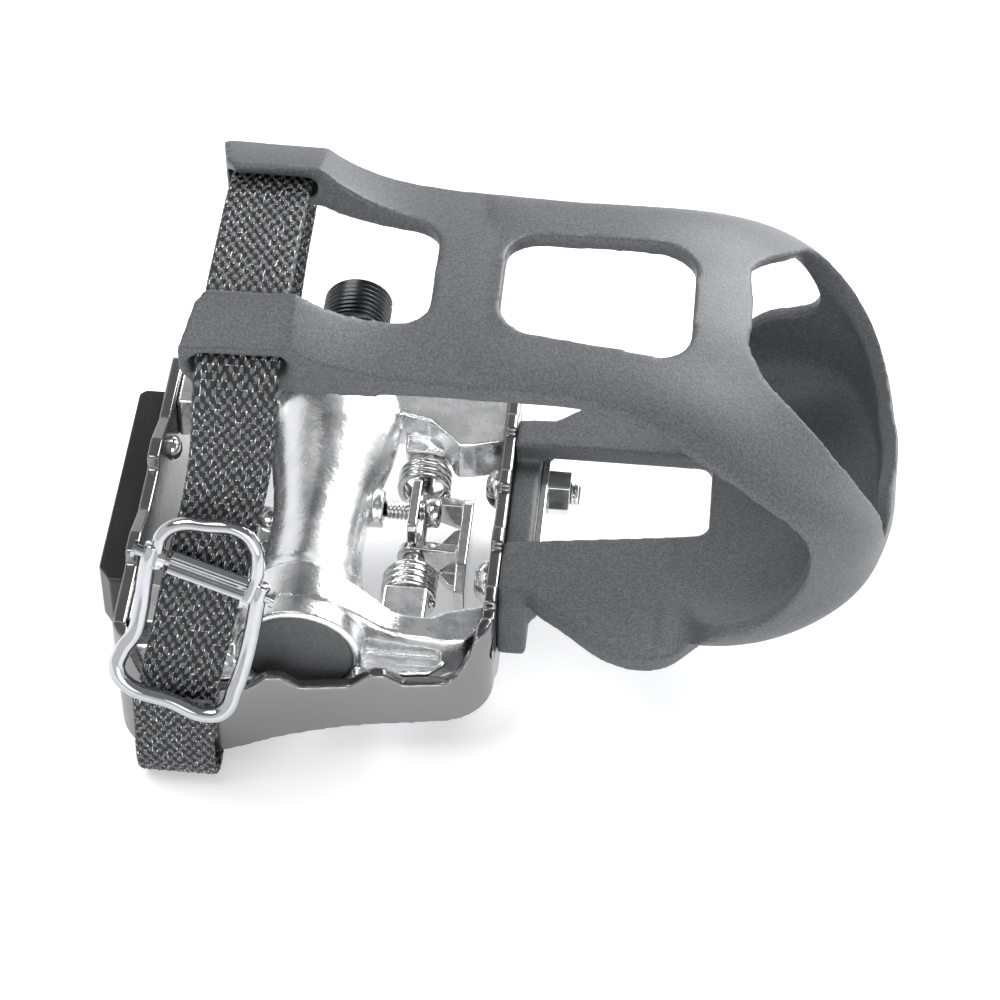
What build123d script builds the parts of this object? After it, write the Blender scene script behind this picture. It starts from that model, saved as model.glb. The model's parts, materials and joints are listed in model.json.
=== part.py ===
from build123d import *
from math import atan2, cos, degrees, pi, radians, sin, sqrt
import os

os.makedirs("parts", exist_ok=True)

# Right-hand bicycle pedal. The axle lies on the Y axis, the crank is at +Y, the toe at +X.
# The origin is on the axle at the shoulder that seats on the crank arm. Millimetres.

# Shared places
sole_y = -47.0           # middle of the shoe, the toe clip and the clipless binding
hub_inner_y = -14.0      # inboard end of the cast hub
hub_outer_y = -84.2      # outboard end of the cast hub
seat_gap = 0.3           # clearance between parts that only stand near each other
running = 0.05           # radial clearance of a shaft in its bore
fit = 0.02               # radial clearance of a pressed or screwed part in its seat

# Cage plate
plate = 2.4
cage_front_x = 36.9      # outer face of the front plate
cage_rear_x = -35.1      # outer face of the rear plate
cage_open_y = -13.0      # inboard ends of the plate
wall_y = -89.8           # outer face of the outboard wall beside the axle
wall_slant = 0.129       # the wall runs outboard towards the heel
cage_corner = 10.0
cage_top = 6.0
cage_front_bottom = -14.0
cage_floor = -21.7
wall_dip = -3.0          # top of the wall beside the dust cap
tooth = 3.0
front_tooth = 1.6
rear_tooth = 2.6

# Cast body
bar_top = 4.0
bar_bottom = -6.0
web_top = -2.5
hub_r = 13.0
waist_r = 9.4
nose_r = 12.4
cap_r = 10.66
cap_seat_depth = 2.4

# Spindle
thread_r = 7.14
thread_length = 13.0
collar_r = 9.2
collar_thick = 4.0
neck_r = 6.6
shaft_r = 5.0
tip_r = 3.9
cup_r = 9.0
ball_r = 1.6
ball_count = 10

# Toe clip
clip_sheet = 3.0
clip_sole_thick = 3.8
clip_sole_bottom = 3.0
flange_thick = 5.6
flange_half = 24.0
rib_thick = 3.0
rib_in = 4.7             # inner face of each rib, in from the flange's end
plate_gap = 0.3          # backing plate to the ribs
sole_root = flange_half - 0.9      # half width of the sole where it leaves the flange
flange_bottom = -12.0
bolt_z = -3.2
bolt_pitch = 25.0
bolt_r = 2.5
bolt_tip_x = 50.0
backing_thick = 1.5

# Strap
strap_width = 15.0
strap_thick = 1.6


def side_y(x):
    return wall_y + wall_slant * x


# Cage: one plate bent round the front, the outboard side and the rear
with BuildPart() as cage:
    with BuildSketch(Plane.XY.offset(cage_floor)) as cage_plan:
        with BuildLine():
            Polyline(
                (cage_rear_x, 0), (cage_rear_x, side_y(cage_rear_x)),
                (cage_front_x, side_y(cage_front_x)), (cage_front_x, 0), close=True,
            )
        make_face()
        fillet(cage_plan.vertices().group_by(Axis.Y)[0] + cage_plan.vertices().group_by(Axis.Y)[1],
               cage_corner)
        offset(amount=-plate, mode=Mode.SUBTRACT)
        with Locations(((cage_front_x + cage_rear_x) / 2, 0)):
            Rectangle(200, -2 * cage_open_y, mode=Mode.SUBTRACT)
    extrude(amount=cage_top + rear_tooth - cage_floor)
    front_in = cage_front_x - plate
    rear_in = cage_rear_x + plate
    teeth_x = (15.5, -4.0)
    top_line = [(cage_front_x + 1, cage_top + front_tooth), (front_in - 0.6, cage_top + front_tooth),
                (front_in - 1.6, cage_top - 2.5), (front_in - 4.2, -1.6), (front_in - 6.5, wall_dip)]
    for x in teeth_x:
        top_line += [(x + 5.0, wall_dip), (x + 1.4, wall_dip + tooth),
                     (x - 1.4, wall_dip + tooth), (x - 5.0, wall_dip)]
    top_line += [(rear_in + 9.5, wall_dip), (rear_in + 4.5, 0.5), (rear_in + 2.4, cage_top - 1.5),
                 (rear_in + 1.4, cage_top + rear_tooth), (cage_rear_x - 1, cage_top + rear_tooth)]
    with BuildSketch(Plane.XZ):
        with BuildLine():
            Polyline(*top_line)
            Polyline(top_line[-1], (cage_rear_x - 1, cage_floor), (-17.0, cage_floor))
            Spline((-17.0, cage_floor), (-10.7, -20.6), (-4.4, -18.2), (0, -17.0), (11, -15.0), (22, -14.5),
                   (front_in, -14.1), tangents=((1, 0), (1, 0.02)))
            Polyline((front_in, -14.1), (front_in, cage_floor), (cage_front_x + 1, cage_floor),
                     top_line[0])
        make_face()
    extrude(amount=-side_y(cage_rear_x) + 5, mode=Mode.INTERSECT)
    # Lower edge of the front plate: a foot in the middle, raised ends
    for y_end, y_foot in ((cage_open_y + 1, -27.0), (-100.0, -67.0)):
        toward = 1 if y_end > y_foot else -1
        with BuildSketch(Plane.YZ.offset(front_in - 5)):
            with BuildLine():
                Polyline((y_end, cage_floor - 1), (y_foot - toward, cage_floor - 1), (y_foot + toward * 8, cage_front_bottom),
                         (y_end, cage_front_bottom), close=True)
            make_face()
        extrude(amount=plate + 6, mode=Mode.SUBTRACT)
    # Teeth along the top of the front plate
    front_teeth = [sole_y + k * 15.3 for k in (1.4, 0.4, -0.6, -1.6)]
    for k in range(5):
        near = front_teeth[k - 1] - 2.6 if k > 0 else 0
        far = front_teeth[k] + 2.6 if k < 4 else -77
        with BuildSketch(Plane.YZ.offset(front_in - 1)):
            with BuildLine():
                Polyline((near, cage_top), (far, cage_top), (far - 1, cage_top + 5), (near + 1, cage_top + 5),
                         close=True)
            make_face()
        extrude(amount=plate + 2, mode=Mode.SUBTRACT)
    # Teeth along the top of the rear plate, with a long ramp on their inboard side
    rear_teeth = [sole_y + 6.0, sole_y - 19.0]
    rear_gaps = [(0, rear_teeth[0] + 2.6, 0, 8), (rear_teeth[0] - 2.6, rear_teeth[1] + 2.6, 1, 8),
                 (rear_teeth[1] - 2.6, -86, 1, 1)]
    for near, far, near_ramp, far_ramp in rear_gaps:
        with BuildSketch(Plane.YZ.offset(cage_rear_x - 1)):
            with BuildLine():
                Polyline((near - near_ramp, cage_top), (far + far_ramp, cage_top),
                         (far, cage_top + rear_tooth), (far, cage_top + 9), (near, cage_top + 9),
                         (near, cage_top + rear_tooth), close=True)
            make_face()
        extrude(amount=plate + 2, mode=Mode.SUBTRACT)
    # Holes for the toe clip bolts and the countersunk cage screws
    with Locations(*[Plane(origin=(cage_front_x, sole_y + s * bolt_pitch / 2, bolt_z), z_dir=(1, 0, 0))
                     for s in (1, -1)]):
        Hole(bolt_r + 0.1, depth=plate * 2)
    screw_y = (-20.0, -75.2)
    screw_r = 2.0
    screw_head_r = 3.9
    screw_z = -1.5
    with Locations(*[Plane(origin=(cage_front_x, y, screw_z), z_dir=(1, 0, 0)) for y in screw_y]):
        CounterSinkHole(screw_r + 0.1, screw_head_r + 0.1, depth=plate * 2, counter_sink_angle=90)
    with Locations(*[Plane(origin=(cage_rear_x, y, screw_z), z_dir=(-1, 0, 0)) for y in screw_y]):
        CounterSinkHole(screw_r + 0.1, screw_head_r + 0.1, depth=plate * 2, counter_sink_angle=90)
    reflector_y = -47.0
    reflector_pitch = 34.0
    with Locations(*[Plane(origin=(rear_in, reflector_y + s * reflector_pitch / 2, bolt_z), z_dir=(1, 0, 0))
                     for s in (1, -1)]):
        Hole(1.6, depth=plate * 2)
cage.part.label = "cage"
export_step(cage.part, "parts/cage.step")

# Cage screws: countersunk, through the plate into the ends of the cast bars
screw_length = 12.0
with BuildPart() as cage_screws:
    for face_x, way in ((cage_front_x, 1), (cage_rear_x, -1)):
        for y in screw_y:
            with BuildSketch(Plane(origin=(face_x, y, screw_z), x_dir=(way, 0, 0), z_dir=(0, 0, 1))) as profile:
                with BuildLine():
                    Polyline((-screw_length, 0), (-screw_length, screw_r - fit), (-screw_head_r + screw_r, screw_r - fit),
                             (-0.1, screw_head_r - fit), (-0.1, 0), close=True)
                make_face()
            revolve(axis=Axis((face_x, y, screw_z), (1, 0, 0)))
cage_screws.part.label = "cage_screws"
export_step(cage_screws.part, "parts/cage_screws.step")

# Body: barrel, two cast bars inboard, two ribbed bars outboard
pin_x = 18.5
pin_z = -8.0
pin_r = 2.0
pin_near = -21.0
pin_far = -75.0
adjust_y = -44.0
adjust_r = 2.0
adjust_head_x = 20.4
screw_axis_z = -1.3
boss_x = 12.0
plate_x = 17.2
lug_x0 = -13.9
lug_x1 = 4.0
lug_near = sole_y + 8.4
lug_far = sole_y - 8.4
lug_low = -12.6
lug_high = -8.6
lug_screw_x = -11.2
lug_screw_y = (sole_y + 4.2, sole_y - 4.2)
claw_plate = 1.8
front_end = front_in
rear_end = rear_in
# Outboard ribs: one bar that climbs over the barrel like a saddle and runs to both end plates
rib_saddle = nose_r + 0.2
with BuildPart() as ribs:
    with BuildSketch(Plane.XY.offset(bar_bottom)):
        with BuildLine():
            Polyline((0, -70.6), (6.5, -71.6), (13.0, -72.8), (16.8, -74.5), (21.0, -75.5), (24.6, -75.3), (28.0, -73.4),
                     (front_end, -71.4), (front_end, -75.2), (33.6, -78.4), (31.6, -80.6), (27.5, -81.2),
                     (21.8, -80.8), (12.0, -79.6), (-12.0, -79.6), (-21.0, -82.0), (rear_end, -82.0),
                     (rear_end, -71.4), (-28.0, -72.4), (-23.0, -75.4), (-16.0, -74.2), (-12.0, -72.8),
                     (-6.5, -71.6), close=True)
        make_face()
    extrude(amount=rib_saddle - bar_bottom)
    with BuildSketch(Plane.XZ.offset(60)):
        with BuildLine():
            Line((front_end + 1, bar_bottom - 1), (front_end + 1, bar_top))
            Line((front_end + 1, bar_top), (21.0, bar_top))
            Spline((21.0, bar_top), (15.0, bar_top + 1.2), (10.6, bar_top + 4.0), (6.0, rib_saddle - 1.5), (0, rib_saddle),
                   tangents=((-1, 0), (-1, 0)))
            Spline((0, rib_saddle), (-6.0, rib_saddle - 1.5), (-10.6, bar_top + 4.0), (-15.0, bar_top + 1.2),
                   (-21.0, bar_top), tangents=((-1, 0), (-1, 0)))
            Line((-21.0, bar_top), (rear_end - 1, bar_top))
            Line((rear_end - 1, bar_top), (rear_end - 1, bar_bottom - 1))
            Line((rear_end - 1, bar_bottom - 1), (front_end + 1, bar_bottom - 1))
        make_face()
    extrude(amount=30, mode=Mode.INTERSECT)

with BuildPart() as body:
    with BuildSketch(Plane.XY) as barrel_half:
        with BuildLine():
            Line((0, hub_inner_y), (10.6, hub_inner_y))
            Line((10.6, hub_inner_y), (11.4, hub_inner_y - 4))
            Spline((11.4, hub_inner_y - 4), (hub_r, -25), (12.2, -33), (waist_r + 0.5, -46), (waist_r, -56),
                   (10.6, -67), (nose_r, hub_outer_y + 5), tangents=((0.3, -1), (0.1, -1)))
            Line((nose_r, hub_outer_y + 5), (nose_r, hub_outer_y))
            Line((nose_r, hub_outer_y), (0, hub_outer_y))
            Line((0, hub_outer_y), (0, hub_inner_y))
        make_face()
    revolve(axis=Axis.Y)
    # Inboard bars, in one with the barrel's end
    with BuildSketch(Plane.XY.offset(bar_bottom)):
        with BuildLine():
            Polyline((front_end, hub_inner_y), (front_end, -27.8), (28.6, -29.6), (25.5, -30.0), (22.5, -27.0),
                     (19.0, -23.8), (6.5, -20.8), (-7.6, -22.2), (-15.0, -21.5), (rear_end, -24.0),
                     (rear_end, hub_inner_y), close=True)
        make_face()
    extrude(amount=bar_top - bar_bottom)
    add(ribs.part)
    # Outboard web up to the cage wall, with its cast pockets
    web_gap = plate * sqrt(1 + wall_slant ** 2) + seat_gap
    corner = cage_corner - plate + 1.8
    for end_x, near_x, way in ((front_end, 11.0, 1), (rear_end, -11.0, -1)):
        with BuildSketch(Plane.XY.offset(bar_bottom)):
            with BuildLine():
                Polyline((end_x, -73.0), (end_x, side_y(end_x) + web_gap + corner), (end_x - way * 0.38 * corner, side_y(end_x)
                         + web_gap + 0.38 * corner), (end_x - way * corner, side_y(end_x - way * corner) + web_gap),
                         (near_x, side_y(near_x) + web_gap), (near_x, -73.0), close=True)
            make_face()
        extrude(amount=web_top - bar_bottom)
    with BuildSketch(Plane.XY.offset(web_top - 1.8)):
        with Locations((19.3, -80.2)):
            SlotOverall(15.5, 3.6)
        with Locations(Location((-20.5, -84.3), -7)):
            SlotOverall(15.5, 4.0)
    extrude(amount=5, mode=Mode.SUBTRACT)
    # Lugs that carry the binding pin
    for near, far in ((-20.0, -26.8), (-62.8, -76.0)):
        with BuildSketch(Plane.XZ.offset(-near)):
            with Locations((pin_x, pin_z)):
                Circle(4.4)
            with Locations((pin_x, (pin_z + bar_bottom) / 2 + 2.0)):
                Rectangle(8.8, 6.0)
        extrude(amount=near - far)
    with Locations(Plane(origin=(pin_x, pin_far - 0.2, pin_z), z_dir=(0, 1, 0))):
        Cylinder(pin_r + fit, pin_near - pin_far + 0.4, align=(Align.CENTER, Align.CENTER, Align.MIN), mode=Mode.SUBTRACT)
    with Locations(Plane(origin=(pin_x, -62.8, pin_z), z_dir=(0, 1, 0))):
        Cylinder(6.2, 36.0, align=(Align.CENTER, Align.CENTER, Align.MIN), mode=Mode.SUBTRACT)
    # Boss on the barrel for the adjusting screw
    with Locations(Plane(origin=(8.0, adjust_y, screw_axis_z), z_dir=(1, 0, 0))):
        Cylinder(3.8, boss_x - 8.0, align=(Align.CENTER, Align.CENTER, Align.MIN))
    with Locations(Plane(origin=(boss_x, adjust_y, screw_axis_z), z_dir=(1, 0, 0))):
        Hole(adjust_r + running, depth=3.2)
    # Lug under the barrel for the fixed claw
    with BuildSketch(Plane.XY.offset(lug_low)):
        with Locations(((lug_x0 + lug_x1) / 2, sole_y)):
            Rectangle(lug_x1 - lug_x0, lug_near - lug_far)
    extrude(amount=lug_high - lug_low)
    with Locations(*[Plane(origin=(lug_screw_x, y, lug_high), z_dir=(0, 0, 1)) for y in lug_screw_y]):
        Hole(1.6, depth=20)
    # Bores for the spindle, its bearings and the dust cap
    with BuildSketch(Plane.XY) as bore_half:
        with BuildLine():
            Polyline((0, hub_inner_y + 1), (cup_r + fit, hub_inner_y + 1), (cup_r + fit, -26.0), (7.4, -26.0),
                     (7.4, -67.5), (8.6 + fit, -67.5), (8.6 + fit, -76.5), (9.4, -76.5), (9.4, hub_outer_y + cap_seat_depth),
                     (cap_r + fit, hub_outer_y + cap_seat_depth), (cap_r + fit, hub_outer_y - 1), (0, hub_outer_y - 1),
                     close=True)
        make_face()
    revolve(axis=Axis.Y, mode=Mode.SUBTRACT)
    # Tapped holes for the cage screws
    with Locations(*[Plane(origin=(front_end, y, screw_z), z_dir=(1, 0, 0)) for y in screw_y]):
        Hole(screw_r, depth=screw_length - plate + 0.5)
    with Locations(*[Plane(origin=(rear_end, y, screw_z), z_dir=(-1, 0, 0)) for y in screw_y]):
        Hole(screw_r, depth=screw_length - plate + 0.5)
body.part.label = "body"
export_step(body.part, "parts/body.step")

# Dust cap: a disc with a short lip that presses into the hub
with BuildPart() as dust_cap:
    with BuildSketch(Plane.XY):
        with BuildLine():
            Polyline((0, -83.9), (cap_r - 0.6, -83.9), (cap_r, -83.4), (cap_r, hub_outer_y + cap_seat_depth),
                     (cap_r - 1.4, hub_outer_y + cap_seat_depth), (cap_r - 1.4, -82.6), (0, -82.6), close=True)
        make_face()
    revolve(axis=Axis.Y)
dust_cap.part.label = "dust_cap"
export_step(dust_cap.part, "parts/dust_cap.step")

# Spindle: threaded end, collar with two spanner flats, bearing land, taper and outboard thread
flats = 15.0
inner_track_y = -20.5
outer_track_y = -72.0
with BuildPart() as spindle:
    with BuildSketch(Plane.XY):
        with BuildLine():
            Polyline((0, thread_length), (thread_r - 0.9, thread_length), (thread_r, thread_length - 0.9), (thread_r, 0),
                     (collar_r, 0), (collar_r, -collar_thick),
                     (7.9, -collar_thick - 0.8), (7.9, -11.5), (neck_r, -12.4), (neck_r, -17.0), (shaft_r, -20.0),
                     (shaft_r, -40.0), (tip_r, -60.0), (tip_r, -81.0), (0, -81.0), close=True)
        make_face()
    revolve(axis=Axis.Y)
    for s in (1, -1):
        with BuildSketch(Plane.XZ.offset(0.3)):
            with Locations((0, s * (flats / 2 + 3))):
                Rectangle(30, 6)
        extrude(amount=9.0, mode=Mode.SUBTRACT)
    with BuildSketch(Plane.XZ.offset(-thread_length)):
        RegularPolygon(3.0, 6, major_radius=False)
    extrude(amount=5.0, mode=Mode.SUBTRACT)
spindle.part.label = "spindle"
export_step(spindle.part, "parts/spindle.step")

# Inboard seal: a ring that presses in the hub mouth round the spindle
with BuildPart() as spindle_seal:
    with BuildSketch(Plane.XY):
        with BuildLine():
            Polyline((neck_r + 0.3, hub_inner_y), (cup_r, hub_inner_y), (cup_r, hub_inner_y - 2.0),
                     (neck_r + 0.3, hub_inner_y - 2.0), close=True)
        make_face()
    revolve(axis=Axis.Y)
spindle_seal.part.label = "spindle_seal"
export_step(spindle_seal.part, "parts/spindle_seal.step")

# Bearing cups, pressed in the hub, and the cone, washer and nut on the spindle's outboard end
with BuildPart() as inner_cup:
    with BuildSketch(Plane.XY):
        with BuildLine():
            Polyline((neck_r + 0.4, -25.9), (cup_r, -25.9), (cup_r, -16.1), (8.6, -16.1), (8.6, -21.6), (7.4, -23.6),
                     (neck_r + 0.4, -23.6), close=True)
        make_face()
    revolve(axis=Axis.Y)
inner_cup.part.label = "inner_cup"
export_step(inner_cup.part, "parts/inner_cup.step")

with BuildPart() as outer_cup:
    with BuildSketch(Plane.XY):
        with BuildLine():
            Polyline((6.6, -67.6), (8.6, -67.6), (8.6, -76.4), (8.2, -76.4), (8.2, -71.2), (7.2, -69.4), (6.6, -69.4),
                     close=True)
        make_face()
    revolve(axis=Axis.Y)
outer_cup.part.label = "outer_cup"
export_step(outer_cup.part, "parts/outer_cup.step")

with BuildPart() as outer_cone:
    with BuildSketch(Plane.XY):
        with BuildLine():
            Polyline((tip_r + fit, -69.6), (4.4, -69.6), (4.4, -72.0), (6.0, -74.2), (6.0, -76.0), (tip_r + fit, -76.0),
                     close=True)
        make_face()
    revolve(axis=Axis.Y)
outer_cone.part.label = "outer_cone"
export_step(outer_cone.part, "parts/outer_cone.step")

with BuildPart() as lock_washer:
    with BuildSketch(Plane.XZ.offset(76.0)):
        Circle(6.2)
        Circle(tip_r + fit, mode=Mode.SUBTRACT)
    extrude(amount=1.0)
lock_washer.part.label = "lock_washer"
export_step(lock_washer.part, "parts/lock_washer.step")

with BuildPart() as locknut:
    with BuildSketch(Plane.XZ.offset(77.0)):
        RegularPolygon(6.4, 6, major_radius=False)
        Circle(tip_r + fit, mode=Mode.SUBTRACT)
    extrude(amount=3.6)
locknut.part.label = "locknut"
export_step(locknut.part, "parts/locknut.step")

# Bearing balls, a row at each end
for name, track_y, track_r in (("inner_balls", inner_track_y, 6.88), ("outer_balls", outer_track_y, 6.5)):
    with BuildPart() as balls:
        with Locations(Plane(origin=(0, track_y, 0), z_dir=(0, 1, 0))):
            with PolarLocations(track_r, ball_count):
                Sphere(ball_r - 0.1)
    balls.part.label = name
    export_step(balls.part, "parts/" + name + ".step")

# Toe clip: a shell lofted along the shoe, wider towards the inboard side of the toe
def toe_outline(half, low, high, band, drop, waist, inset, floor):
    half, band, low, high = half - inset, band - 0.4 * inset, low + floor, high - inset
    edge = high - drop
    rise = waist - low
    lean = sqrt(0.5)
    return [(0, low), (0.44 * half, low), (0.79 * half, low + 0.025 * rise), (0.95 * half, low + 0.14 * rise),
            (half, low + 0.46 * rise), (half, waist), (band + lean * (half - band), waist + lean * (edge - waist)),
            (band, edge), (band / 2, high - drop / 4), (0, high)]


def across(x, y=sole_y):
    return Plane(origin=(x, y, 0), x_dir=(0, 1, 0), z_dir=(1, 0, 0))


clip_stations = [
    # x, middle, half width, underside, crown, half width of the band, drop at its edge, height of the widest place
    (21.0, -47.0, 32.0, 2.9, 67.4, 26.0, 3.2, 46.0),
    (34.0, -47.0, 32.4, 2.9, 67.3, 26.0, 3.3, 46.0),
    (47.0, -47.0, 33.0, 2.9, 67.0, 26.2, 3.5, 45.6),
    (60.0, -47.0, 34.2, 2.9, 66.4, 27.6, 4.2, 44.6),
    (72.0, -46.6, 36.2, 2.9, 64.6, 29.4, 5.2, 43.0),
    (83.0, -45.4, 37.4, 4.0, 61.2, 30.6, 6.6, 40.6),
    (93.0, -44.0, 36.0, 6.4, 56.6, 29.0, 8.4, 37.0),
    (101.0, -43.0, 32.0, 9.4, 50.0, 24.8, 9.6, 32.6),
    (107.0, -43.0, 24.6, 12.6, 41.0, 17.6, 9.0, 27.6),
    (111.0, -45.0, 9.0, 15.0, 26.5, 6.0, 3.6, 21.0),
]
# The hollow: how far each outline moves back and in, and how thick the floor is there
clip_hollow = [
    (-4.0, 3.0, 4.0), (-4.0, 3.0, 4.0), (-4.0, 3.0, 4.0), (-3.0, 3.0, 4.0), (-2.0, 3.0, 4.0), (-1.6, 2.9, 3.6),
    (-1.6, 2.8, 3.2), (-1.8, 2.6, 2.8), (-2.3, 2.2, 2.4), (-3.0, 0.8, 1.2),
]
with BuildPart() as clip_inside:
    for (x, middle, *shape), (shift, inset, floor) in zip(clip_stations, clip_hollow):
        with BuildSketch(across(x + shift, middle)):
            with BuildLine():
                outline = toe_outline(*shape, inset, floor)
                Spline(*outline, tangents=((1, 0), (-1, 0)))
                Spline(*[(-y, z) for y, z in outline], tangents=((-1, 0), (1, 0)))
            make_face()
    loft()

sole_top = clip_sole_bottom + clip_sole_thick
with BuildPart() as toe_clip:
    for x, middle, *shape in clip_stations:
        with BuildSketch(across(x, middle)):
            with BuildLine():
                outline = toe_outline(*shape, 0, 0)
                Spline(*outline, tangents=((1, 0), (-1, 0)))
                Spline(*[(-y, z) for y, z in outline], tangents=((-1, 0), (1, 0)))
            make_face()
    loft()
    add(clip_inside.part, mode=Mode.SUBTRACT)
    # The shell starts at the neck above and at the ball of the foot below
    with BuildSketch(Plane.XZ.offset(-5)):
        with BuildLine():
            Polyline((10, -1), (70, -1), (70, sole_top + 0.2), (31, sole_top + 0.2), (31, 75), (10, 75), close=True)
        make_face()
    extrude(amount=115, mode=Mode.SUBTRACT)
    # Side openings: the outboard one reaches down to the sole, the inboard wall stands higher
    rim_high = [(94.6, 31.5), (93.2, 37.5), (89.7, 43.0), (84.2, 48.4), (77.4, 53.4), (71.2, 56.8), (65, 59.2),
                (58, 60.4), (50, 60.8)]
    for start_y, rim_low in ((sole_y, [(74, 7.6), (77, 11.6), (80, 14.0), (85, 15.8), (89, 18.6), (92.7, 23.4)]),
                             (5.0, [(74, 13.0), (79, 21.0), (85, 26.4), (91.6, 28.4)])):
        with BuildSketch(Plane.XZ.offset(-start_y)):
            with BuildLine():
                Line((20, sole_top + 0.2), (68, sole_top + 0.2))
                Spline((68, sole_top + 0.2), *rim_low, *rim_high, tangents=((1, 0.05), (-1, 0)))
                Polyline((50, 60.8), (20, 60.8), (20, sole_top + 0.2))
            make_face()
        extrude(amount=52 if start_y > 0 else 60, mode=Mode.SUBTRACT)
    # Edges of the top band, cut in plan
    for s in (1, -1):
        with BuildSketch(Plane.XY.offset(50)):
            with BuildLine():
                Line((0, sole_y + s * 25.8), (46, sole_y + s * 25.8))
                Spline((46, sole_y + s * 25.8), (54, sole_y + s * 26.6), (62, sole_y + s * 28.2), (69, sole_y + s * 31.0),
                       (77, sole_y + s * 35.6), (85, sole_y + s * 42.0), tangents=((1, 0), (0.7, s * 0.7)))
                Polyline((85, sole_y + s * 42.0), (85, sole_y + s * 50), (0, sole_y + s * 50), (0, sole_y + s * 25.8))
            make_face()
        extrude(amount=30, mode=Mode.SUBTRACT)
    # Sole plate: narrow at the flange, wide under the ball of the foot
    sole_side = [(44.2, 25.1), (48.2, 28.2), (52.2, 31.3), (56.7, 34.8), (62.1, 37.0), (66.9, 37.2), (69.8, 36.2),
                 (76.5, 29.5)]
    with BuildSketch(Plane.XY.offset(clip_sole_bottom)):
        with BuildLine():
            Spline((cage_front_x + 4.6, sole_y - sole_root), *[(x, sole_y - half) for x, half in sole_side],
                   tangents=((1, -0.1), (1, 1)))
            Line((76.5, sole_y - 29.5), (76.5, sole_y + 27.5))
            Spline((76.5, sole_y + 27.5), *[(x, sole_y + half - 2.0) for x, half in sole_side[-2::-1]],
                   (cage_front_x + 4.6, sole_y + sole_root), tangents=((-1, 1), (-1, -0.1)))
            Polyline((cage_front_x + 4.6, sole_y + sole_root), (cage_front_x, sole_y + sole_root - 0.2),
                     (cage_front_x, sole_y - sole_root + 0.2), (cage_front_x + 4.6, sole_y - sole_root))
        make_face()
    extrude(amount=clip_sole_thick)
    # Mounting flange under the sole's rear edge, with two ribs and the bolt holes
    with BuildSketch(across(cage_front_x)) as flange:
        with Locations((0, (flange_bottom + clip_sole_bottom + 0.6) / 2)):
            Rectangle(2 * flange_half, clip_sole_bottom + 0.6 - flange_bottom)
        fillet(flange.vertices().group_by(Axis.Z)[0], 2.5)
    extrude(amount=flange_thick)
    rib_x = cage_front_x + flange_thick
    for y in (sole_y - flange_half + rib_in - rib_thick, sole_y + flange_half - rib_in):
        with BuildSketch(Plane.XZ.offset(-y)):
            with BuildLine():
                Polyline((rib_x - 0.2, -4.5), (rib_x + 5.0, clip_sole_bottom + 0.5), (rib_x - 0.2, clip_sole_bottom + 0.5),
                         close=True)
            make_face()
        extrude(amount=-rib_thick)
    with Locations(*[Plane(origin=(rib_x, sole_y + s * bolt_pitch / 2, bolt_z), z_dir=(1, 0, 0)) for s in (1, -1)]):
        Hole(bolt_r + 0.1, depth=flange_thick * 2)
    # Arms: thick arched pads over the strap, then a neck that thins into the band
    pad_sections = [(-21.0, 77.4, 71.1, 28.2, 69.0, 62.4), (0.0, 78.0, 71.5, 27.3, 69.4, 60.8)]
    neck_sections = [(0.0, 78.0, 71.5, 27.3, 69.4, 60.8), (9.0, 71.2, 66.8, 26.6, 66.0, 60.4),
                     (18.0, 68.4, 65.0, 26.1, 65.2, 60.6), (27.0, 67.6, 64.3, 26.0, 64.8, 60.9),
                     (36.0, 66.9, 63.6, 26.0, 64.6, 61.1)]
    for sections, straight in ((pad_sections, True), (neck_sections, False)):
        for x, crown, edge, half, crown_under, edge_under in sections:
            with BuildSketch(across(x)):
                with BuildLine():
                    ThreePointArc((-half, edge), (0, crown), (half, edge))
                    Line((half, edge), (half, edge_under))
                    ThreePointArc((half, edge_under), (0, crown_under), (-half, edge_under))
                    Line((-half, edge_under), (-half, edge))
                make_face()
        loft(ruled=straight)
    # Ends of the arms, slanted in plan and rounded below
    for s in (1, -1):
        with BuildSketch(Plane.XY.offset(55)) as arm_end:
            with BuildLine():
                Polyline((-30, sole_y + s * 14), (-15.6, sole_y + s * 14), (-16.4, sole_y + s * 16.6),
                         (-18.0, sole_y + s * 19.0), (-20.4, sole_y + s * 30), (-30, sole_y + s * 30), close=True)
            make_face()
        extrude(amount=30, mode=Mode.SUBTRACT)
    with BuildSketch(Plane.XZ.offset(-5)):
        with BuildLine():
            Line((-25, 69.0), (-20.6, 69.0))
            ThreePointArc((-20.6, 69.0), (-19.2, 64.6), (-14.5, 60.2))
            Polyline((-14.5, 60.2), (-25, 60.2), (-25, 69.0))
        make_face()
    extrude(amount=115, mode=Mode.SUBTRACT)
    # Sole window, open to the flange
    with BuildSketch(Plane.XY.offset(clip_sole_bottom - 0.7)) as sole_window:
        with BuildLine():
            Polyline((cage_front_x - 1, sole_y + 15.6), (76.3, sole_y + 15.8), (76.3, sole_y - 4.6), (cage_front_x - 1, sole_y - 10.2),
                     close=True)
        make_face()
        fillet(sole_window.vertices().group_by(Axis.X)[-1], 3.0)
    extrude(amount=7, mode=Mode.SUBTRACT)
    # Rear window between the arms
    with BuildSketch(Plane.XY.offset(50)) as rear_window:
        with BuildLine():
            Polyline((-40, sole_y + 16.5), (0, sole_y + 16.2), (12, sole_y + 14.4), (22.8, sole_y + 12.6),
                     (22.8, sole_y - 12.6), (12, sole_y - 14.4), (0, sole_y - 16.2), (-40, sole_y - 16.5), close=True)
        make_face()
        fillet(rear_window.vertices().group_by(Axis.X)[-1], 6.0)
    extrude(amount=60, mode=Mode.SUBTRACT)
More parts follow.
